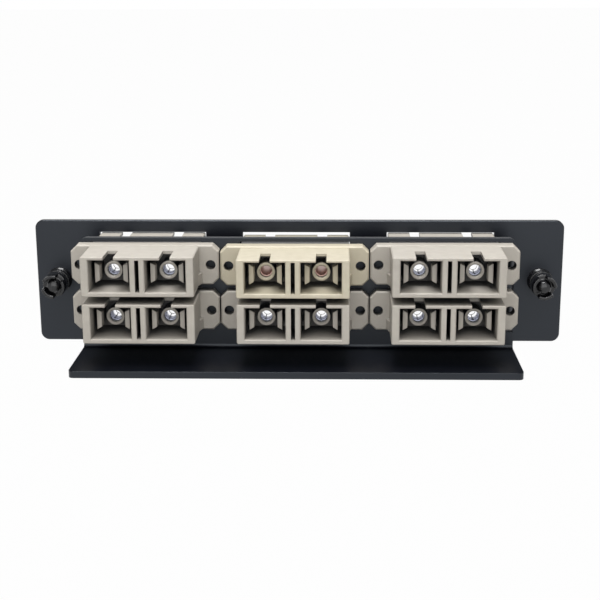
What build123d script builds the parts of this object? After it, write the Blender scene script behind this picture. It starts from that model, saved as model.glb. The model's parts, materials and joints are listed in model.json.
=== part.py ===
from build123d import *
import os

# Fibre adapter panel: a folded steel faceplate and bracket that carry six duplex
# adapters in two rows, held in its enclosure by two push-pull fasteners.
# Millimetres. The origin lies on the faceplate's rear seating face, midway between
# the axes of the two fasteners. +X is right, +Y is back, +Z is up.

# Faceplate
plate_width = 129.0
plate_height = 30.4
plate_thickness = 1.5
plate_corner_radius = 2.0
plate_edge_chamfer = 0.2
plate_centre_drop = 0.4          # the plate's centre lies this far below the fasteners

# Bracket: an upright web in front of the faceplate, two side legs and a shelf
web_standoff = 9.6               # clear gap between the faceplate and the web
bracket_thickness = 1.6
bracket_inset = 13.0             # the bracket ends this far short of the plate's ends
bracket_bend_radius = 0.8        # inside radius of every fold
web_top_setdown = 2.0            # web's top edge below the plate's top edge
web_corner_radius = 1.8
shelf_depth = 19.6               # from the web's front face to the shelf's front edge
shelf_corner_radius = 1.2
leg_top_margin = 2.6             # the side legs stop short of the web's top edge
leg_bottom_margin = 5.6          # and of the shelf's underside

# Adapter grid: as many columns and rows as the web has room for
column_space = 0.3               # between the flanges of two neighbours
column_shift = -0.5              # the columns stand slightly left of centre
row_space = 1.6
top_rim = 1.1                    # from the web's top edge down to the flanges
fastener_room = 11.5             # kept free for the fastener at each end of the plate
cutout_side_gap = 0.25           # cut-outs clear the bodies by this much
cutout_end_gap = 0.3

# Adapter body, made of two half shells that meet inside the flange
body_width = 25.6
body_height = 9.2
body_edge_chamfer = 0.25
body_end_chamfer = 0.15
body_half_length = 14.2
flange_wing = 4.6                # reach of the flange beyond the body's sides
flange_lip = 0.1                 # and beyond its top and bottom
flange_half_thickness = 1.6
flange_corner_cut = 1.5
flange_bevel = 0.3
flange_hole_offset = 2.65        # from the body's side to the hole's centre
flange_hole_diameter = 2.3
gusset_length = 3.0
gusset_reach = 0.7
gusset_height = 2.5

# One adapter is of another make: its body is lower and it stands lower in its cut-outs
low_body_top_drop = 0.35
low_port_top_drop = 0.2
low_seat_drop = 0.25

# Ports: two in each end of a body, 12.7 apart
port_side_wall = 1.8
port_top_wall = 0.75
port_floor_wall = 1.05
divider_width = 3.4
port_mouth_chamfer = 0.2
key_slot_width = 2.4
key_slot_length = 6.9
divider_slot_width = 0.95
divider_slot_depth = 9.5

# Latch inserts: a base plate with the sleeve holder and two latch hooks
insert_lip = 0.4
insert_gap = 0.05
insert_base_thickness = 2.4
holder_diameter = 4.15
holder_length = 7.5              # from the seam to the holder's tip
holder_mouth_diameter = 2.8
holder_mouth_chamfer = 0.25
hook_wall_gap = 0.9
hook_thickness = 1.2
hook_arm_thickness = 0.65
hook_nose_length = 2.4
hook_height = 4.7
hook_edge_cut = 0.7
hook_length = 10.4               # from the seam to the hook's nose

# Split alignment sleeves
sleeve_bore = 2.5
sleeve_wall = 0.35
sleeve_length = 11.4
sleeve_slit = 0.5
sleeve_gap = 0.05

# Retaining clips: a spring-steel strap over the rear half of each adapter
clip_thickness = 0.25
clip_groove_gap = 0.05
clip_width = 4.6
clip_leg_drop = 6.4              # the legs' lower ends below the body's top
clip_ear_height = 3.0
clip_ear_reach = 0.65
clip_window_border = 0.35

# Push-pull fasteners
fastener_inset = 5.45            # from the plate's end to the fastener's axis
neck_diameter = 5.2              # inside the faceplate
shank_diameter = 4.8             # behind it
shank_length = 6.8               # behind the faceplate
shank_hole_gap = 0.05
shank_slot_width = 0.8
shank_slot_turn = 45.0           # degrees from the horizontal
shank_taper = 0.5
head_diameter = 6.2
head_thickness = 1.2
head_edge_chamfer = 0.35
stem_diameter = 2.5
stem_gap = 0.08
stem_head_diameter = 3.4
stem_head_length = 1.4
stem_head_gap = 0.2
stem_cavity_floor = 1.0          # shoulder that stops the stem's head, behind the plate
stem_reach = 7.2                 # stem's tip behind the faceplate
knob_gap = 0.15
knob_diameter = 5.8
knob_length = 7.15
knob_waist_diameter = 4.9
knob_waist_start = 1.6
knob_waist_length = 1.0
knob_edge_chamfer = 0.25
crown_depth = 2.4
crown_wall = 0.75
crown_arc_count = 3
crown_gap_width = 1.7
boss_diameter = 3.2
boss_bevel = 0.5
left_crown_turn = 52.0
right_crown_turn = 100.0

# Places worked out from the sizes above
plate_front = -plate_thickness
web_back = plate_front - web_standoff
web_front = web_back - bracket_thickness
shelf_front = web_front - shelf_depth
seam = web_front - flange_half_thickness
plate_top = plate_height / 2 - plate_centre_drop
plate_bottom = plate_top - plate_height
web_top = plate_top - web_top_setdown
shelf_top = plate_bottom + bracket_thickness
fold_radius = bracket_bend_radius + bracket_thickness
bracket_width = plate_width - 2 * bracket_inset
fastener_pitch = plate_width - 2 * fastener_inset
body_bottom = -body_height / 2
port_width = (body_width - divider_width) / 2 - port_side_wall
port_pitch = port_width + divider_width
port_sides = (-port_pitch / 2, port_pitch / 2)
port_height = body_height - port_top_wall - port_floor_wall
port_bottom = body_bottom + port_floor_wall
flange_width = body_width + 2 * flange_wing
flange_height = body_height + 2 * flange_lip
flange_hole_pitch = body_width + 2 * flange_hole_offset
cutout_width = body_width + 2 * cutout_side_gap
cutout_height = body_height + 2 * cutout_end_gap

# Columns and rows that fit, by name
column_pitch = flange_width + column_space
column_count = int((plate_width - 2 * fastener_room + column_space) // column_pitch)
column_names = {1: ["centre"], 2: ["left", "right"], 3: ["left", "centre", "right"]}.get(
    column_count, [f"column_{n + 1}" for n in range(column_count)]
)
columns = {name: column_shift + (n - (column_count - 1) / 2) * column_pitch for n, name in enumerate(column_names)}
row_pitch = flange_height + row_space
row_count = int((web_top - top_rim - shelf_top - bracket_bend_radius + row_space) // row_pitch)
row_names = ["top", "bottom"][:row_count] if row_count < 3 else [f"row_{n + 1}" for n in range(row_count)]
rows = {name: web_top - top_rim - flange_height / 2 - n * row_pitch for n, name in enumerate(row_names)}
cutout_centres = [(x, z) for z in rows.values() for x in columns.values()]
sleeve_diameter = sleeve_bore + 2 * sleeve_wall
sleeve_seat_diameter = sleeve_diameter + 2 * sleeve_gap
clip_groove_depth = clip_thickness + clip_groove_gap

# Body top and port top of the usual adapter and of the lower one, above the body's middle
usual_body = {"body_top": body_height / 2, "port_top": body_height / 2 - port_top_wall}
low_body = {
    "body_top": usual_body["body_top"] - low_body_top_drop,
    "port_top": usual_body["port_top"] - low_port_top_drop,
}

os.makedirs("parts", exist_ok=True)


def upright(y):
    """Sketch plane at a depth y: sketch x is X, sketch y is Z, and extrusions run forward."""
    return Plane.XZ.offset(-y)


def save(shape, name):
    shape.label = name
    export_step(shape, f"parts/{name}.step")


# Faceplate
with BuildPart() as faceplate:
    with BuildSketch(upright(0)):
        with Locations((0, plate_top - plate_height / 2)):
            RectangleRounded(plate_width, plate_height, plate_corner_radius)
    extrude(amount=plate_thickness)
    front_face = faceplate.faces().sort_by(Axis.Y)[0]
    back_face = faceplate.faces().sort_by(Axis.Y)[-1]
    chamfer(front_face.edges() + back_face.edges(), plate_edge_chamfer)
    with BuildSketch(upright(0)):
        with Locations(*cutout_centres):
            Rectangle(cutout_width, cutout_height)
        with Locations((-fastener_pitch / 2, 0), (fastener_pitch / 2, 0)):
            Circle(neck_diameter / 2 + shank_hole_gap)
    extrude(amount=plate_thickness, mode=Mode.SUBTRACT)
save(faceplate.part, "faceplate")

# Front bracket: web and shelf are one folded strip, seen here in its side profile
with BuildPart() as front_bracket:
    with BuildSketch(Plane.YZ.offset(-bracket_width / 2)):
        with BuildLine():
            FilletPolyline(
                (web_back, web_top),
                (web_back, plate_bottom),
                (shelf_front, plate_bottom),
                radius=fold_radius,
            )
            Line((shelf_front, plate_bottom), (shelf_front, shelf_top))
            FilletPolyline(
                (shelf_front, shelf_top),
                (web_front, shelf_top),
                (web_front, web_top),
                radius=bracket_bend_radius,
            )
            Line((web_front, web_top), (web_back, web_top))
        make_face()
    extrude(amount=bracket_width)
    web_corners = front_bracket.edges().filter_by(Axis.Y).group_by(Axis.Z)[-1]
    fillet(web_corners, web_corner_radius)
    shelf_corners = front_bracket.edges().filter_by(Axis.Z).group_by(Axis.Y)[0]
    fillet(shelf_corners, shelf_corner_radius)
    # the web is cut back to the fold line where each leg turns away from it
    leg_low = plate_bottom + leg_bottom_margin
    leg_high = web_top - leg_top_margin
    with BuildSketch(Plane.XY.offset(leg_low)):
        for side in (-1, 1):
            outer = side * bracket_width / 2
            inner = side * (bracket_width / 2 - fold_radius)
            with BuildLine():
                Polyline((inner, web_front), (outer, web_front), (outer, web_back), (inner, web_back), close=True)
            make_face()
    extrude(amount=leg_high - leg_low, mode=Mode.SUBTRACT)
    with BuildSketch(Plane.XY.offset(leg_low)):
        for side in (-1, 1):
            outer = side * bracket_width / 2
            inner = outer - side * bracket_thickness
            root = outer - side * 2 * fold_radius
            with BuildLine():
                FilletPolyline((root, web_front), (outer, web_front), (outer, plate_front), radius=fold_radius)
                Line((outer, plate_front), (inner, plate_front))
                FilletPolyline((inner, plate_front), (inner, web_back), (root, web_back), radius=bracket_bend_radius)
                Line((root, web_back), (root, web_front))
            make_face()
    extrude(amount=leg_high - leg_low)
    with BuildSketch(upright(web_back)):
        with Locations(*cutout_centres):
            Rectangle(cutout_width, cutout_height)
    extrude(amount=bracket_thickness, mode=Mode.SUBTRACT)
save(front_bracket.part, "front_bracket")


def half_shell(forward, body_top, port_top):
    """One half of an adapter's housing, from the seam to its mouths."""
    end = seam - forward * body_half_length
    port_centre = (port_top + port_bottom) / 2
    port_rise = port_top - port_bottom
    with BuildPart() as shell:
        with BuildSketch(upright(seam)):
            Rectangle(flange_width, flange_height)
            chamfer(vertices(), flange_corner_cut)
        extrude(amount=forward * flange_half_thickness)
        if forward > 0:
            chamfer(shell.faces().sort_by(Axis.Y)[0].edges(), flange_bevel)
        with BuildSketch(upright(seam)):
            with Locations((0, (body_top + body_bottom) / 2)):
                Rectangle(body_width, body_top - body_bottom)
            chamfer(vertices(), body_edge_chamfer)
        extrude(amount=forward * body_half_length)
        end_face = shell.faces().sort_by(Axis.Y)[0 if forward > 0 else -1]
        chamfer(end_face.edges(), body_end_chamfer)
        # small gussets between the body's sides and the flange
        if forward > 0:
            flange_face = seam - flange_half_thickness
            with BuildSketch(Plane.XY.offset(body_bottom + body_edge_chamfer)):
                for side in (-1, 1):
                    wall = side * body_width / 2
                    inside = wall - side * body_edge_chamfer
                    tip = wall + side * gusset_reach
                    with BuildLine():
                        Polyline(
                            (inside, flange_face),
                            (inside, flange_face - gusset_length),
                            (wall, flange_face - gusset_length),
                            (tip, flange_face),
                            close=True,
                        )
                    make_face()
            extrude(amount=gusset_height)
        # ports, then the wider pockets that hold the inserts at the seam
        with BuildSketch(upright(seam)):
            with Locations(*[(x, port_centre) for x in port_sides]):
                Rectangle(port_width, port_rise)
        extrude(amount=forward * body_half_length, mode=Mode.SUBTRACT)
        end_face = shell.faces().sort_by(Axis.Y)[0 if forward > 0 else -1]
        mouth_edges = [edge for wire in end_face.inner_wires() for edge in wire.edges()]
        chamfer(mouth_edges, port_mouth_chamfer)
        with BuildSketch(upright(seam)):
            with Locations(*[(x, port_centre) for x in port_sides]):
                Rectangle(port_width + 2 * insert_lip, port_rise)
        extrude(amount=forward * insert_base_thickness, mode=Mode.SUBTRACT)
        with BuildSketch(upright(seam)):
            with Locations((-flange_hole_pitch / 2, 0), (flange_hole_pitch / 2, 0)):
                Circle(flange_hole_diameter / 2)
        extrude(amount=forward * flange_half_thickness, mode=Mode.SUBTRACT)
        # slot in the divider between the ports, and the key slots in the top wall
        with BuildSketch(upright(end)):
            with Locations((0, port_centre)):
                Rectangle(divider_slot_width, port_rise)
        extrude(amount=-forward * divider_slot_depth, mode=Mode.SUBTRACT)
        with BuildSketch(upright(end)):
            with Locations(*[(x, body_top) for x in port_sides]):
                Rectangle(key_slot_width, 2 * port_top_wall + port_mouth_chamfer)
        extrude(amount=-forward * key_slot_length, mode=Mode.SUBTRACT)
        if forward < 0:
            # groove for the retaining clip, over the top and down both sides
            groove_bottom = body_top - clip_leg_drop - clip_groove_gap
            with BuildSketch(upright(web_front)):
                with Locations((0, body_top)):
                    Rectangle(body_width + 2 * clip_thickness, 2 * clip_groove_depth)
                for side in (-1, 1):
                    with Locations((side * body_width / 2, (body_top + groove_bottom) / 2)):
                        Rectangle(2 * clip_groove_depth, body_top - groove_bottom)
            extrude(amount=-(clip_width + clip_groove_gap), mode=Mode.SUBTRACT)
    return shell.part


def latch_inserts(forward, port_top):
    """The pair of inserts of one half shell, one behind each port."""
    port_centre = (port_top + port_bottom) / 2
    port_rise = port_top - port_bottom
    base_width = port_width + 2 * (insert_lip - insert_gap)
    hook_outer = port_width / 2 - hook_wall_gap
    hook_inner = hook_outer - hook_thickness
    arm_inner = hook_outer - hook_arm_thickness
    nose = seam - forward * hook_length
    nose_back = nose + forward * hook_nose_length
    nose_slope_end = nose + forward * hook_nose_length / 2
    with BuildPart() as inserts:
        # hooks: outline in plan, then cut to their bevelled height
        with BuildSketch(Plane.XY.offset(port_centre - hook_height / 2)):
            for x in port_sides:
                for side in (-1, 1):
                    with BuildLine():
                        Polyline(
                            (x + side * hook_outer, seam),
                            (x + side * hook_outer, nose),
                            (x + side * (hook_inner + hook_arm_thickness / 4), nose),
                            (x + side * hook_inner, nose_slope_end),
                            (x + side * hook_inner, nose_back),
                            (x + side * arm_inner, nose_back + forward * (hook_thickness - hook_arm_thickness)),
                            (x + side * arm_inner, seam),
                            close=True,
                        )
                    make_face()
        extrude(amount=hook_height)
        with BuildSketch(upright(seam)):
            for x in port_sides:
                for side in (-1, 1):
                    low = port_centre - hook_height / 2
                    high = port_centre + hook_height / 2
                    with BuildLine():
                        Polyline(
                            (x + side * (hook_outer + insert_gap), low - insert_gap),
                            (x + side * (hook_outer + insert_gap), high + insert_gap),
                            (x + side * hook_outer, high),
                            (x + side * hook_inner, high - hook_edge_cut),
                            (x + side * hook_inner, low + hook_edge_cut),
                            (x + side * hook_outer, low),
                            close=True,
                        )
                    make_face()
        extrude(amount=forward * hook_length, mode=Mode.INTERSECT)
        with BuildSketch(upright(seam)):
            with Locations(*[(x, port_centre) for x in port_sides]):
                Rectangle(base_width, port_rise - 2 * insert_gap)
        extrude(amount=forward * insert_base_thickness)
        with BuildSketch(upright(seam)):
            with Locations(*[(x, port_centre) for x in port_sides]):
                Circle(holder_diameter / 2)
        extrude(amount=forward * holder_length)
        tip_face_y = seam - forward * holder_length
        with BuildSketch(upright(seam)):
            with Locations(*[(x, port_centre) for x in port_sides]):
                Circle(sleeve_seat_diameter / 2)
        extrude(amount=forward * (sleeve_length / 2 + sleeve_gap), mode=Mode.SUBTRACT)
        with BuildSketch(upright(seam)):
            with Locations(*[(x, port_centre) for x in port_sides]):
                Circle(holder_mouth_diameter / 2)
        extrude(amount=forward * holder_length, mode=Mode.SUBTRACT)
        mouth_rims = [
            edge
            for edge in inserts.edges().filter_by(GeomType.CIRCLE)
            if abs(edge.center().Y - tip_face_y) < insert_gap and edge.radius < holder_diameter / 2 - insert_gap
        ]
        chamfer(mouth_rims, holder_mouth_chamfer)
    return inserts.part


def alignment_sleeves(port_top):
    """The two split sleeves that the inserts hold across the seam."""
    port_centre = (port_top + port_bottom) / 2
    with BuildPart() as sleeves:
        with BuildSketch(upright(seam + sleeve_length / 2)):
            for x in port_sides:
                with Locations((x, port_centre)):
                    Circle(sleeve_diameter / 2)
                    Circle(sleeve_bore / 2, mode=Mode.SUBTRACT)
                with Locations((x, port_centre + sleeve_diameter / 2)):
                    Rectangle(sleeve_slit, sleeve_diameter, mode=Mode.SUBTRACT)
        extrude(amount=sleeve_length)
    return sleeves.part


def retaining_clip(body_top):
    """Strap over the rear half, with an ear on each side that bears on the web's back."""
    leg_bottom = body_top - clip_leg_drop
    strap_start = web_front + clip_groove_gap
    strap_end = web_front + clip_width
    leg_outer = body_width / 2
    leg_inner = leg_outer - clip_thickness
    ear_low = leg_bottom + clip_window_border
    with BuildPart() as clip:
        with BuildSketch(upright(strap_end)):
            with Locations((0, (body_top + leg_bottom) / 2)):
                Rectangle(2 * leg_outer, body_top - leg_bottom)
            with Locations((0, (body_top + leg_bottom) / 2 - clip_thickness)):
                Rectangle(2 * leg_inner, body_top - leg_bottom, mode=Mode.SUBTRACT)
        extrude(amount=strap_end - strap_start)
        # the ears are cut free from the legs on three sides and bent outwards
        window_start = web_back + clip_window_border
        window_end = strap_end - clip_window_border
        with BuildSketch(Plane.XY.offset(ear_low)):
            for side in (-1, 1):
                with Locations((side * leg_outer, (window_start + window_end) / 2)):
                    Rectangle(4 * clip_thickness, window_end - window_start)
        extrude(amount=clip_ear_height, mode=Mode.SUBTRACT)
        with BuildSketch(Plane.XY.offset(ear_low)):
            for side in (-1, 1):
                with BuildLine():
                    Polyline(
                        (side * leg_inner, strap_end),
                        (side * leg_outer, strap_end),
                        (side * (leg_outer + clip_ear_reach), web_back),
                        (side * (leg_inner + clip_ear_reach), web_back),
                        (side * leg_inner, window_end),
                        close=True,
                    )
                make_face()
        extrude(amount=clip_ear_height)
    return clip.part


# Each kind of adapter is made once, at a row height of zero, and then placed in its cut-out
low_place = ("top", "centre")
for body, drop in ((usual_body, 0), (low_body, low_seat_drop)):
    pieces = {
        "front_shell": half_shell(1, body["body_top"], body["port_top"]),
        "rear_shell": half_shell(-1, body["body_top"], body["port_top"]),
        "front_inserts": latch_inserts(1, body["port_top"]),
        "rear_inserts": latch_inserts(-1, body["port_top"]),
        "sleeves": alignment_sleeves(body["port_top"]),
        "clip": retaining_clip(body["body_top"]),
    }
    places = [(row, column) for row in rows for column in columns if ((row, column) == low_place) == (body is low_body)]
    for row, column in places:
        seat = Location((columns[column], 0, rows[row] - drop))
        for piece, shape in pieces.items():
            save(shape.moved(seat), f"{row}_{column}_{piece}")


# Push-pull fasteners: a split grommet in the faceplate and the plunger that spreads it
def grommet(x):
    with BuildPart() as body:
        with BuildSketch(upright(plate_front)):
            with Locations((x, 0)):
                Circle(head_diameter / 2)
        extrude(amount=head_thickness)
        front_rim = body.edges().filter_by(GeomType.CIRCLE).sort_by(Axis.Y)[0]
        chamfer(front_rim, head_edge_chamfer)
        with BuildSketch(upright(0)):
            with Locations((x, 0)):
                Circle(neck_diameter / 2)
        extrude(amount=plate_thickness)
        with BuildSketch(upright(shank_length)):
            with Locations((x, 0)):
                Circle(shank_diameter / 2)
        extrude(amount=shank_length - plate_front)
        tail_rim = body.edges().filter_by(GeomType.CIRCLE).sort_by(Axis.Y)[-1]
        chamfer(tail_rim, shank_taper, 2 * shank_taper)
        with BuildSketch(upright(shank_length)):
            with Locations((x, 0)):
                Circle(stem_diameter / 2 + stem_gap)
        extrude(amount=shank_length + plate_thickness + head_thickness, mode=Mode.SUBTRACT)
        with BuildSketch(upright(shank_length)):
            with Locations((x, 0)):
                Circle(stem_head_diameter / 2 + stem_head_gap)
        extrude(amount=shank_length - stem_cavity_floor, mode=Mode.SUBTRACT)
        # crossed slots leave four legs behind the faceplate
        with BuildSketch(upright(shank_length)):
            with Locations((x, 0)):
                Rectangle(2 * shank_diameter, shank_slot_width, rotation=shank_slot_turn)
                Rectangle(shank_slot_width, 2 * shank_diameter, rotation=shank_slot_turn)
        extrude(amount=shank_length - stem_cavity_floor, mode=Mode.SUBTRACT)
    return body.part


def plunger(x, crown_turn):
    knob_back = plate_front - head_thickness - knob_gap
    knob_front = knob_back - knob_length
    with BuildPart() as body:
        with BuildSketch(upright(knob_back)):
            with Locations((x, 0)):
                Circle(knob_diameter / 2)
        extrude(amount=knob_length)
        rims = body.edges().filter_by(GeomType.CIRCLE).sort_by(Axis.Y)
        chamfer([rims[0], rims[-1]], knob_edge_chamfer)
        with BuildSketch(upright(knob_back - knob_waist_start)):
            with Locations((x, 0)):
                Circle(knob_diameter)
                Circle(knob_waist_diameter / 2, mode=Mode.SUBTRACT)
        extrude(amount=knob_waist_length, mode=Mode.SUBTRACT)
        # crown: a ring in three arcs round a bevelled boss
        with BuildSketch(upright(knob_front + crown_depth)):
            with Locations((x, 0)):
                Circle(knob_diameter / 2 - crown_wall)
            with Locations((x, 0)):
                with PolarLocations(knob_diameter / 2, crown_arc_count, start_angle=crown_turn):
                    Rectangle(knob_diameter, crown_gap_width)
            with Locations((x, 0)):
                Circle(boss_diameter / 2, mode=Mode.SUBTRACT)
        extrude(amount=crown_depth, mode=Mode.SUBTRACT)
        boss_rim = (
            body.edges()
            .filter_by(GeomType.CIRCLE)
            .filter_by(lambda edge: abs(edge.radius - boss_diameter / 2) < knob_gap)
            .sort_by(Axis.Y)[0]
        )
        chamfer(boss_rim, boss_bevel)
        with BuildSketch(upright(stem_reach)):
            with Locations((x, 0)):
                Circle(stem_diameter / 2)
        extrude(amount=stem_reach - knob_back)
        with BuildSketch(upright(stem_reach)):
            with Locations((x, 0)):
                Circle(stem_head_diameter / 2)
        extrude(amount=stem_head_length)
        tail_rim = body.edges().filter_by(GeomType.CIRCLE).sort_by(Axis.Y)[-1]
        chamfer(tail_rim, (stem_head_diameter - stem_diameter) / 2)
    return body.part


for side, x, crown_turn in (
    ("left", -fastener_pitch / 2, left_crown_turn),
    ("right", fastener_pitch / 2, right_crown_turn),
):
    save(grommet(x), f"{side}_grommet")
    save(plunger(x, crown_turn), f"{side}_plunger")
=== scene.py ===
import json
from math import atan2, cos, hypot, pi, radians, sin

import bpy
from mathutils import Euler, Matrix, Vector


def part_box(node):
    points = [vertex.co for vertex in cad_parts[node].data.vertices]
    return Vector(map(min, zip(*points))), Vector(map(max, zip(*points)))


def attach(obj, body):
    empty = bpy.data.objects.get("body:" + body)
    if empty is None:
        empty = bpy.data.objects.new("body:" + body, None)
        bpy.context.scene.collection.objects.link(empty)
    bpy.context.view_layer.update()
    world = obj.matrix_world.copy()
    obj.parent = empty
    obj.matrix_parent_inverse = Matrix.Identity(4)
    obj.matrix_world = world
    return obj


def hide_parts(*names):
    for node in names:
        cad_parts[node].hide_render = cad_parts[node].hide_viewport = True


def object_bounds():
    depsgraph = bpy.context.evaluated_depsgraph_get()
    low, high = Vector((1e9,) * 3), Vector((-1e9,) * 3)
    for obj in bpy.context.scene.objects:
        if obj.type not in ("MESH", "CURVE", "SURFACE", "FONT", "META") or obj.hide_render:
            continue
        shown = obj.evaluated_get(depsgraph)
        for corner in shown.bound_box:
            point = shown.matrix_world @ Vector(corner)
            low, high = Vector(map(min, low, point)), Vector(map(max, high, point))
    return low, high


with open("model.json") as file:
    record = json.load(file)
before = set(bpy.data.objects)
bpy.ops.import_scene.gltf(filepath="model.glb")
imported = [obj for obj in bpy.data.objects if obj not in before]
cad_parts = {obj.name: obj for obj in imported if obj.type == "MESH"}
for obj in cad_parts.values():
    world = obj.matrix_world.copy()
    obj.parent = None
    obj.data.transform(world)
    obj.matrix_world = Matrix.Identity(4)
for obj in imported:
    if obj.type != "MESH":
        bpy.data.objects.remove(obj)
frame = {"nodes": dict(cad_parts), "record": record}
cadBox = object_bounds()
nodes = frame["nodes"]
print("frame loaded:", len(nodes), "nodes")

millimetre = 0.001
white = (1.0, 1.0, 1.0, 1.0)
edgeSamples = 4


def feed(tree, target, value):
    # a shader node's socket takes a plain value, or a link from another node
    if isinstance(value, Wire):
        tree.links.new(value.socket, target)
    else:
        target.default_value = value


# a socket that can be used in sums, so that masks read as plain expressions
class Wire:
    def __init__(self, tree, socket):
        self.tree = tree
        self.socket = socket

    def mathNode(self, operation, first, second):
        made = self.tree.nodes.new("ShaderNodeMath")
        made.operation = operation
        feed(self.tree, made.inputs[0], first)
        feed(self.tree, made.inputs[1], second)
        return Wire(self.tree, made.outputs[0])

    def __add__(self, other):
        return self.mathNode("ADD", self, other)

    def __radd__(self, other):
        return self.mathNode("ADD", other, self)

    def __sub__(self, other):
        return self.mathNode("SUBTRACT", self, other)

    def __mul__(self, other):
        return self.mathNode("MULTIPLY", self, other)

    def larger(self, other):
        return self.mathNode("MAXIMUM", self, other)


# one tree of shader nodes, for a material or for the world
class Shader:
    def __init__(self, owner):
        owner.use_nodes = True
        self.owner = owner
        self.tree = owner.node_tree
        self.tree.nodes.clear()

    def node(self, kind, sockets=None, settings=None, out=0):
        # sockets and the output go by name, or by number where a name occurs twice
        made = self.tree.nodes.new("ShaderNode" + kind)
        for name, value in (settings or {}).items():
            setattr(made, name, value)
        for name, value in (sockets or {}).items():
            feed(self.tree, made.inputs[name], value)
        return Wire(self.tree, made.outputs[out])

    def objectPoint(self):
        return self.node("TexCoord", out="Object")

    def noise(self, grain, detail=2.0, stretch=(1.0, 1.0, 1.0)):
        # grain is the size of a speck in millimetres
        point = self.node("Mapping", {"Vector": self.objectPoint(), "Scale": stretch})
        size = 1.0 / (grain * millimetre)
        return self.node("TexNoise", {"Vector": point, "Scale": size, "Detail": detail})

    def rise(self, value, low, high, smooth=False):
        # from 0 at the low value to 1 at the high one
        settings = {"interpolation_type": "SMOOTHSTEP"} if smooth else {}
        return self.node("MapRange", {"Value": value, "From Min": low, "From Max": high}, settings)

    def mixColour(self, share, first, second):
        # the colour sockets of a Mix node stand behind its number and vector sockets
        return self.node("Mix", {0: share, 6: first, 7: second}, {"data_type": "RGBA"}, out=2)

    def relief(self, height, values):
        # a fine bump, over edges that are rounded in the shading only
        sockets = {
            "Height": height,
            "Strength": values["bumpStrength"],
            "Distance": values["bumpDepth"] * millimetre,
        }
        if "edgeRadius" in values:
            radius = values["edgeRadius"] * millimetre
            sockets["Normal"] = self.node("Bevel", {"Radius": radius}, {"samples": edgeSamples})
        return self.node("Bump", sockets)

    def finish(self, surface, kind="OutputMaterial"):
        output = self.tree.nodes.new("ShaderNode" + kind)
        feed(self.tree, output.inputs["Surface"], surface)
        return self.owner

    def finishPrincipled(self, sockets):
        return self.finish(self.node("BsdfPrincipled", sockets))


def newMaterial(name):
    return Shader(bpy.data.materials.new(name))


def opaque(colour, lift=1.0):
    return (*[channel * lift for channel in colour], 1.0)


# Powder coat: near-black paint that shows its surroundings softly, with a fine orange peel
powderCoat = {
    "colour": (0.001, 0.0015, 0.0045),
    "dustColour": (0.004, 0.005, 0.009),
    "dustRange": (0.45, 0.8),
    "dustShare": 0.5,
    "sheenTint": (0.85, 0.92, 1.0, 1.0),
    "roughness": 0.36,
    "roughnessSpread": 0.1,
    "ior": 1.52,
    "patches": {"grain": 14.0, "detail": 3.0},
    "peel": {"grain": 0.45},
    "peelShare": 0.7,
    "fine": {"grain": 0.12, "detail": 1.0},
    "fineShare": 0.3,
    "bumpStrength": 0.35,
    "bumpDepth": 0.02,
    "edgeRadius": 0.25,
}


def makePowderCoat(values):
    shader = newMaterial("powderCoat")
    peel = shader.noise(**values["peel"])
    fine = shader.noise(**values["fine"])
    patches = shader.noise(**values["patches"])
    height = peel * values["peelShare"] + fine * values["fineShare"]
    dust = shader.rise(patches, *values["dustRange"]) * values["dustShare"]
    return shader.finishPrincipled(
        {
            "Base Color": shader.mixColour(dust, opaque(values["colour"]), opaque(values["dustColour"])),
            "Roughness": values["roughness"] + (patches - 0.5) * values["roughnessSpread"],
            "IOR": values["ior"],
            "Specular Tint": values["sheenTint"],
            "Normal": shader.relief(height, values),
        }
    )


# Moulded plastic of the adapters: matte, faintly mottled, with painted shade in its recesses and deep
# inside the ports
adapterPlastic = {
    "beige": {
        "colour": (0.58, 0.54, 0.475),
        "shade": (0.52, 0.48, 0.42),
        # painted shade: darker tone for the beige plastic's recesses
        "paintedRecessShade": (0.46, 0.43, 0.385),
    },
    "cream": {
        "colour": (0.69, 0.63, 0.49),
        # painted shade: darker tone for the cream plastic's recesses
        "shade": (0.62, 0.56, 0.425),
        "paintedRecessShade": (0.56, 0.51, 0.39),
    },
    # painted shade: the nearly black colour at the bottom of the ports, and the openness over which it
    # takes over
    "paintedDeepShadeColour": (0.012, 0.015, 0.022),
    "reach": 14.0,
    "reachSamples": 8,
    "paintedDeepShadeRange": (0.05, 0.2),
    # painted shade: the openness over which recesses take the darker tone
    "paintedRecessShadeRange": (0.2, 0.95),
    "roughness": 0.46,
    "roughnessSpread": 0.1,
    "ior": 1.47,
    "mottle": {"grain": 2.2, "detail": 3.0},
    "mottleRange": (0.3, 0.75),
    "fine": {"grain": 0.16},
    "bumpStrength": 0.4,
    "bumpDepth": 0.012,
    "edgeRadius": 0.14,
}


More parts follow.
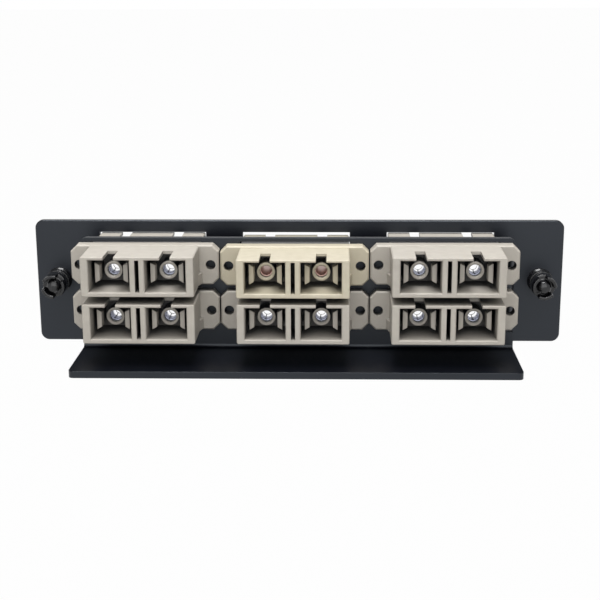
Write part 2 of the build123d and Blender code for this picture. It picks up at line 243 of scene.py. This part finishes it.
def makeAdapterPlastic(kind, values):
    shader = newMaterial(kind + "Plastic")
    colours = {name: opaque(colour) for name, colour in values[kind].items()}
    mottle = shader.noise(**values["mottle"])
    fine = shader.noise(**values["fine"])
    # how open a point lies, from ambient occlusion: painted shade darkens the recesses, and the ports
    # inwards to nearly black at their bottom
    openness = shader.node(
        "AmbientOcclusion",
        {"Distance": values["reach"] * millimetre},
        {"samples": values["reachSamples"]},
        "AO",
    )
    shaded = shader.rise(mottle, *values["mottleRange"])
    # painted shade: recesses, such as the flanges between the bodies and the rear tops, get a darker
    # tone by occlusion
    clearOfRecessShade = shader.rise(openness, *values["paintedRecessShadeRange"])
    # painted shade: where little is open, deep in the ports, the colour goes to nearly black
    clearOfDeepShade = shader.rise(openness, *values["paintedDeepShadeRange"], smooth=True)
    colour = shader.mixColour(shaded, colours["colour"], colours["shade"])
    colour = shader.mixColour(clearOfRecessShade, colours["paintedRecessShade"], colour)
    colour = shader.mixColour(clearOfDeepShade, opaque(values["paintedDeepShadeColour"]), colour)
    return shader.finishPrincipled(
        {
            "Base Color": colour,
            "Roughness": values["roughness"] + (fine - 0.5) * values["roughnessSpread"],
            "IOR": values["ior"],
            "Normal": shader.relief(fine, values),
        }
    )


# Black nylon of the fasteners: glossy where it is handled
fastenerPlastic = {
    "colour": (0.004, 0.004, 0.005),
    "scuffColour": (0.016, 0.016, 0.019),
    "scuff": {"grain": 0.8, "detail": 4.0, "stretch": (1.0, 3.0, 1.0)},
    "scuffRange": (0.5, 0.8),
    "scuffRoughness": 0.2,
    "roughness": 0.16,
    "ior": 1.53,
    "fine": {"grain": 0.2},
    "bumpStrength": 0.5,
    "bumpDepth": 0.02,
    "edgeRadius": 0.2,
}


def makeFastenerPlastic(values):
    shader = newMaterial("fastenerPlastic")
    scuffed = shader.rise(shader.noise(**values["scuff"]), *values["scuffRange"])
    fine = shader.noise(**values["fine"])
    return shader.finishPrincipled(
        {
            "Base Color": shader.mixColour(
                scuffed, opaque(values["colour"]), opaque(values["scuffColour"])
            ),
            "Roughness": values["roughness"] + scuffed * values["scuffRoughness"],
            "IOR": values["ior"],
            "Normal": shader.relief(fine, values),
        }
    )


# Ceramic sleeves: polished bluish grey, bright where they mirror the white beyond their far end
sleeveCeramic = {
    "colour": (0.42, 0.44, 0.55),
    "veilColour": (0.22, 0.24, 0.34),
    "veil": {"grain": 0.9},
    "roughness": 0.16,
    "metallic": 0.6,
    "polishedColour": (0.98, 0.98, 0.99),
    "polishedRoughness": 0.03,
    "polishedRange": (-17.9, -16.9),
    "ior": 2.15,
}


def makeSleeveCeramic(values):
    shader = newMaterial("sleeveCeramic")
    veil = shader.noise(**values["veil"])
    depth = shader.node("SeparateXYZ", {"Vector": shader.objectPoint()}, out="Y")
    polished = shader.rise(depth, *[place * millimetre for place in values["polishedRange"]])
    colour = shader.mixColour(veil, opaque(values["colour"]), opaque(values["veilColour"]))
    smoother = values["polishedRoughness"] - values["roughness"]
    return shader.finishPrincipled(
        {
            "Base Color": shader.mixColour(polished, colour, opaque(values["polishedColour"])),
            "Roughness": values["roughness"] + polished * smoother,
            "Metallic": values["metallic"] + polished * (1.0 - values["metallic"]),
            "IOR": values["ior"],
        }
    )


# Bronze sleeves: warm pinkish metal, drawn along its length
sleeveBronze = {
    "colour": (0.6, 0.37, 0.31),
    "wornColour": (0.72, 0.5, 0.44),
    "drawn": {"grain": 0.25, "detail": 3.0, "stretch": (1.0, 0.08, 1.0)},
    "roughness": 0.34,
    "roughnessSpread": 0.12,
    "metallic": 0.85,
}


def makeSleeveBronze(values):
    shader = newMaterial("sleeveBronze")
    drawn = shader.noise(**values["drawn"])
    fresh, worn = opaque(values["colour"]), opaque(values["wornColour"])
    return shader.finishPrincipled(
        {
            "Base Color": shader.mixColour(drawn, fresh, worn),
            "Roughness": values["roughness"] + drawn * values["roughnessSpread"],
            "Metallic": values["metallic"],
        }
    )


# Spring steel of the clips, with the fine lines of rolled strip
clipSteel = {
    "colour": (0.46, 0.45, 0.44),
    "lineLifts": (0.85, 1.15),
    "lines": {"grain": 0.12, "detail": 3.0, "stretch": (0.05, 1.0, 0.05)},
    "roughness": 0.3,
    "roughnessSpread": 0.15,
    "bumpStrength": 0.5,
    "bumpDepth": 0.006,
}


def makeClipSteel(values):
    shader = newMaterial("clipSteel")
    lines = shader.noise(**values["lines"])
    dark, pale = [opaque(values["colour"], lift) for lift in values["lineLifts"]]
    return shader.finishPrincipled(
        {
            "Base Color": shader.mixColour(lines, dark, pale),
            "Roughness": values["roughness"] + lines * values["roughnessSpread"],
            "Metallic": 1.0,
            "Normal": shader.relief(lines, values),
        }
    )


materials = {
    "powder_coat": makePowderCoat(powderCoat),
    "beige_plastic": makeAdapterPlastic("beige", adapterPlastic),
    "cream_plastic": makeAdapterPlastic("cream", adapterPlastic),
    "black_plastic": makeFastenerPlastic(fastenerPlastic),
    "zirconia": makeSleeveCeramic(sleeveCeramic),
    "bronze": makeSleeveBronze(sleeveBronze),
    "spring_steel": makeClipSteel(clipSteel),
}
slotOf = {part["node"]: part["material_slot"] for part in frame["record"]["subparts"]}


def dress(piece, slot):
    piece.data.materials.clear()
    piece.data.materials.append(materials[slot])


for name, part in nodes.items():
    dress(part, slotOf[name])
print("materials on the frame's nodes")


# Modelling helpers: each works on the active piece
def selectFaces(piece, wanted):
    bpy.ops.object.mode_set(mode="OBJECT")
    for vertex in piece.data.vertices:
        vertex.select = False
    for edge in piece.data.edges:
        edge.select = False
    for face in piece.data.polygons:
        face.select = wanted(face)
    bpy.ops.object.mode_set(mode="EDIT")
    bpy.ops.mesh.select_mode(type="FACE")


def extrudeTo(depth, distance, ratio=1.0):
    # pushes the selected face along Y by a distance, then scales it about the axis at its new depth
    bpy.ops.mesh.extrude_region_move(TRANSFORM_OT_translate={"value": (0, distance, 0)})
    if ratio != 1.0:
        bpy.ops.transform.resize(value=(ratio, 1.0, ratio), center_override=(0, depth, 0))


def applyPlace():
    bpy.ops.object.transform_apply(location=True, rotation=True, scale=True)


def selectOnly(*pieces):
    # the last one becomes the active piece
    bpy.ops.object.select_all(action="DESELECT")
    for piece in pieces:
        piece.select_set(True)
        bpy.context.view_layer.objects.active = piece


finishing = {"bevelSegments": 2, "sharpAngle": 35.0}


def finishPiece(piece, bevelWidth, values):
    # rounds the sharp edges of a closed piece modelled in millimetres, and brings it to metres
    bpy.ops.mesh.select_all(action="SELECT")
    bpy.ops.mesh.normals_make_consistent(inside=False)
    bpy.ops.object.mode_set(mode="OBJECT")
    sharp = radians(values["sharpAngle"])
    bevel = piece.modifiers.new("softEdges", "BEVEL")
    bevel.width = bevelWidth
    bevel.segments = values["bevelSegments"]
    bevel.limit_method = "ANGLE"
    bevel.angle_limit = sharp
    bevel.use_clamp_overlap = True
    bpy.ops.object.modifier_apply(modifier=bevel.name)
    bpy.ops.object.shade_smooth_by_angle(angle=sharp)
    piece.scale = (millimetre, millimetre, millimetre)
    applyPlace()


def copyPiece(piece, name, shift, turn=0.0):
    # a copy with its own mesh, turned about Y and then moved, with its place applied
    copied = piece.copy()
    copied.data = piece.data.copy()
    copied.name = name
    bpy.context.collection.objects.link(copied)
    selectOnly(copied)
    copied.rotation_euler = (0, turn, 0)
    copied.location = shift
    applyPlace()
    return copied


def dropPiece(piece):
    bpy.data.objects.remove(piece, do_unlink=True)


# Plungers: stem, knob with a waist, three-part crown and domed boss
plunger = {
    "sides": 72,
    "stemRadius": 1.25,
    "stemHeadRadius": 1.7,
    "stemHeadLength": 1.4,
    "knobRadius": 2.9,
    "knobChamfer": 0.25,
    "knobLength": 7.15,
    "waistStart": 1.6,
    "waistLength": 1.0,
    "waistRadius": 2.45,
    "crownDepth": 2.4,
    "crownWall": 0.75,
    "crownGap": 1.7,
    "bossRadius": 1.6,
    "bossDome": 0.85,
    "bossSteps": 9,
    "crownTurns": {"left": 52.0, "right": 100.0},
    "softEdge": 0.2,
    "tolerance": 0.01,
}


def modelPlunger(values, back, front):
    # back is the stem's tip and front the knob's face, in millimetres on Y
    knobBack = front + values["knobLength"]
    waistBack = knobBack - values["waistStart"]
    waistFront = waistBack - values["waistLength"]
    floorDepth = front + values["crownDepth"]
    headChamfer = values["stemHeadRadius"] - values["stemRadius"]
    rings = [
        (back - headChamfer, values["stemHeadRadius"]),
        (back - values["stemHeadLength"], values["stemHeadRadius"]),
        (back - values["stemHeadLength"], values["stemRadius"]),
        (knobBack, values["stemRadius"]),
        (knobBack, values["knobRadius"] - values["knobChamfer"]),
        (knobBack - values["knobChamfer"], values["knobRadius"]),
        (waistBack, values["knobRadius"]),
        (waistBack, values["waistRadius"]),
        (waistFront, values["waistRadius"]),
        (waistFront, values["knobRadius"]),
        (floorDepth, values["knobRadius"]),
        (floorDepth, values["knobRadius"] - values["crownWall"]),
        (floorDepth, values["bossRadius"]),
    ]

    # the boss in the middle: an upright side, then a dome
    bossTop = front + values["bossDome"]
    rings.append((bossTop, values["bossRadius"]))
    for step in range(1, values["bossSteps"] + 1):
        angle = radians(90.0 * step / (values["bossSteps"] + 1))
        depth = bossTop - values["bossDome"] * sin(angle)
        rings.append((depth, values["bossRadius"] * cos(angle)))

    bpy.ops.object.select_all(action="DESELECT")
    bpy.ops.mesh.primitive_circle_add(
        vertices=values["sides"],
        radius=values["stemRadius"],
        fill_type="NGON",
        location=(0, back, 0),
        rotation=(radians(90), 0, 0),
    )
    piece = bpy.context.object
    applyPlace()
    bpy.ops.object.mode_set(mode="EDIT")
    bpy.ops.mesh.select_mode(type="FACE")
    bpy.ops.mesh.select_all(action="SELECT")
    depth, radius = back, values["stemRadius"]
    for nextDepth, nextRadius in rings:
        extrudeTo(nextDepth, nextDepth - depth, nextRadius / radius)
        depth, radius = nextDepth, nextRadius

    # the crown: arcs of the outer ring pushed forwards, with a gap every third of a turn
    crownMiddle = values["knobRadius"] - values["crownWall"] / 2
    halfGap = values["crownGap"] / 2 / crownMiddle
    third = 2 * pi / 3

    def inCrown(face):
        middle = face.center
        onRing = abs(hypot(middle.x, middle.z) - crownMiddle) < values["crownWall"] / 3
        onFloor = abs(middle.y - floorDepth) < values["tolerance"]
        fromGap = (atan2(middle.z, middle.x) + third / 2) % third - third / 2
        return onRing and onFloor and abs(fromGap) > halfGap

    selectFaces(piece, inCrown)
    extrudeTo(front, -values["crownDepth"])
    finishPiece(piece, values["softEdge"], finishing)
    return piece


def makePlungers(values):
    for side in ("left", "right"):
        low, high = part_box(side + "_plunger")
        axisPoint = Vector(((low.x + high.x) / 2, 0, (low.z + high.z) / 2))
        model = modelPlunger(values, high.y / millimetre, low.y / millimetre)
        piece = copyPiece(model, side + "_knob", axisPoint, -radians(values["crownTurns"][side]))
        dropPiece(model)
        dress(piece, "black_plastic")
        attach(piece, side + "_plunger")
        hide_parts(side + "_plunger")


makePlungers(plunger)
print("plungers modelled")


# Sleeves: split tubes with a fine round bore and eased ends
sleeve = {
    "bore": 1.25,
    "wall": 0.35,
    "halfLength": 5.7,
    "slit": 0.5,
    "portPitch": 12.7,
    "steps": 80,
    "softEdge": 0.08,
}


def modelSleeve(values):
    outer = values["bore"] + values["wall"]
    halfSlit = values["slit"] / 2 / outer
    bpy.ops.object.select_all(action="DESELECT")
    middle = (values["bore"] + values["wall"] / 2, 0, 0)
    bpy.ops.mesh.primitive_plane_add(size=1.0, location=middle)
    piece = bpy.context.object
    piece.scale = (values["wall"], 2 * values["halfLength"], 1.0)
    applyPlace()
    # the wall's section starts beside the slit, which faces up, and is spun round to its other side
    piece.rotation_euler = (0, -(pi / 2 - halfSlit), 0)
    applyPlace()
    bpy.ops.object.mode_set(mode="EDIT")
    bpy.ops.mesh.select_all(action="SELECT")
    bpy.ops.mesh.spin(
        steps=values["steps"],
        angle=2 * (pi - halfSlit),
        center=(0, 0, 0),
        axis=(0, 1, 0),
        use_auto_merge=False,
    )
    finishPiece(piece, values["softEdge"], finishing)
    return piece


def makeSleeves(values):
    model = modelSleeve(values)
    half = Vector((values["portPitch"] / 2 * millimetre, 0, 0))
    for name in [name for name in nodes if name.endswith("_sleeves")]:
        low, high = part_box(name)
        # the slit cuts the top of the box a little short, so the height is taken from the bottom
        height = low.z + (values["bore"] + values["wall"]) * millimetre
        middle = Vector(((low.x + high.x) / 2, (low.y + high.y) / 2, height))
        first = copyPiece(model, name.replace("_sleeves", "_sleeve_pair"), middle - half)
        second = copyPiece(model, "second", middle + half)
        selectOnly(second, first)
        bpy.ops.object.join()
        dress(first, slotOf[name])
        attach(first, "panel")
        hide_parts(name)
    dropPiece(model)


makeSleeves(sleeve)
print("sleeves modelled")


# Floor and surroundings: white all round, with a faint shadow on the floor
surroundings = {
    "floorSize": 6.0,
    "floorGlow": 0.98,
    "floorColour": (0.35, 0.35, 0.35),
    "ambient": 0.18,
    "ceiling": 0.12,
    "ceilingFrom": 0.3,
    "ceilingTo": 0.55,
}


def whiteShare(shader, mirrored=None):
    # 1 for the rays that show the background: from the camera, mirrored or through glass
    camera = shader.node("LightPath", out="Is Camera Ray")
    glossy = shader.node("LightPath", out="Is Glossy Ray")
    through = shader.node("LightPath", out="Is Transmission Ray")
    if mirrored:
        glossy = glossy * mirrored
    return camera.larger(glossy.larger(through))


def makeFloor(values, height):
    bpy.ops.object.select_all(action="DESELECT")
    bpy.ops.mesh.primitive_plane_add(size=values["floorSize"], location=(0, 0, height))
    floor = bpy.context.object
    floor.name = "floor"
    shader = newMaterial("floor")
    plain = shader.node("BsdfDiffuse", {"Color": opaque(values["floorColour"])})
    glow = shader.node("Emission", {"Color": white, "Strength": 1.0})
    share = whiteShare(shader) * values["floorGlow"]
    surface = shader.node("MixShader", {0: share, 1: plain, 2: glow})
    floor.data.materials.append(shader.finish(surface))


def makeWorld(values):
    world = bpy.data.worlds.new("studio")
    bpy.context.scene.world = world
    shader = Shader(world)
    # reflections see the white up to a dim ceiling, so that gloss comes from the lamps
    direction = shader.node("TexCoord", out="Generated")
    belowCeiling = shader.node(
        "MapRange",
        {
            "Value": shader.node("SeparateXYZ", {"Vector": direction}, out="Z"),
            "From Min": values["ceilingFrom"],
            "From Max": values["ceilingTo"],
            "To Min": 1.0,
            "To Max": values["ceiling"],
        },
    )
    strength = values["ambient"] + whiteShare(shader, belowCeiling) * (1.0 - values["ambient"])
    shader.finish(shader.node("Background", {"Color": white, "Strength": strength}), "OutputWorld")


makeFloor(surroundings, cadBox[0].z)
makeWorld(surroundings)

# Lamps: a softbox overhead and one in front, above the camera
lamps = {
    "overhead": {
        "place": (-0.02, -0.06, 0.55),
        "aim": (0.0, -0.01, 0.0),
        "size": 0.28,
        "power": 2.9,
    },
    "front": {
        "place": (0.0, -0.54, 0.29),
        "aim": (0.0, -0.02, 0.0),
        "size": 0.7,
        "power": 2.38,
    },
}


def makeLamps(values):
    for name, lamp in values.items():
        bpy.ops.object.light_add(type="AREA", location=lamp["place"])
        made = bpy.context.object
        made.name = name
        made.data.shape = "SQUARE"
        made.data.size = lamp["size"]
        made.data.energy = lamp["power"]
        direction = Vector(lamp["aim"]) - Vector(lamp["place"])
        made.rotation_euler = direction.to_track_quat("-Z", "Y").to_euler()


makeLamps(lamps)

# Camera: solved from the photograph, millimetres and degrees in the frame
photoCamera = {
    "place": (8.855, -300.626, 73.042),
    "turnLeft": 1.629,
    "tiltDown": 14.651,
    "roll": -0.24,
    "lens": 75.04,
    "sensor": 36.0,
    "nearest": 10.0,
    "farthest": 20000.0,
}


def makeCamera(values):
    place = [value * millimetre for value in values["place"]]
    bpy.ops.object.camera_add(location=place)
    camera = bpy.context.object
    camera.name = "photoCamera"
    turn = Euler((0, 0, radians(values["turnLeft"]))).to_matrix()
    tilt = Euler((radians(90 - values["tiltDown"]), 0, 0)).to_matrix()
    roll = Euler((0, 0, radians(values["roll"]))).to_matrix()
    camera.rotation_euler = (turn @ tilt @ roll).to_euler()
    camera.data.lens = values["lens"]
    camera.data.sensor_width = values["sensor"]
    camera.data.clip_start = values["nearest"] * millimetre
    camera.data.clip_end = values["farthest"] * millimetre
    bpy.context.scene.camera = camera


makeCamera(photoCamera)
bpy.context.scene.view_settings.view_transform = "Standard"
print("floor, world, lamps and camera in place")
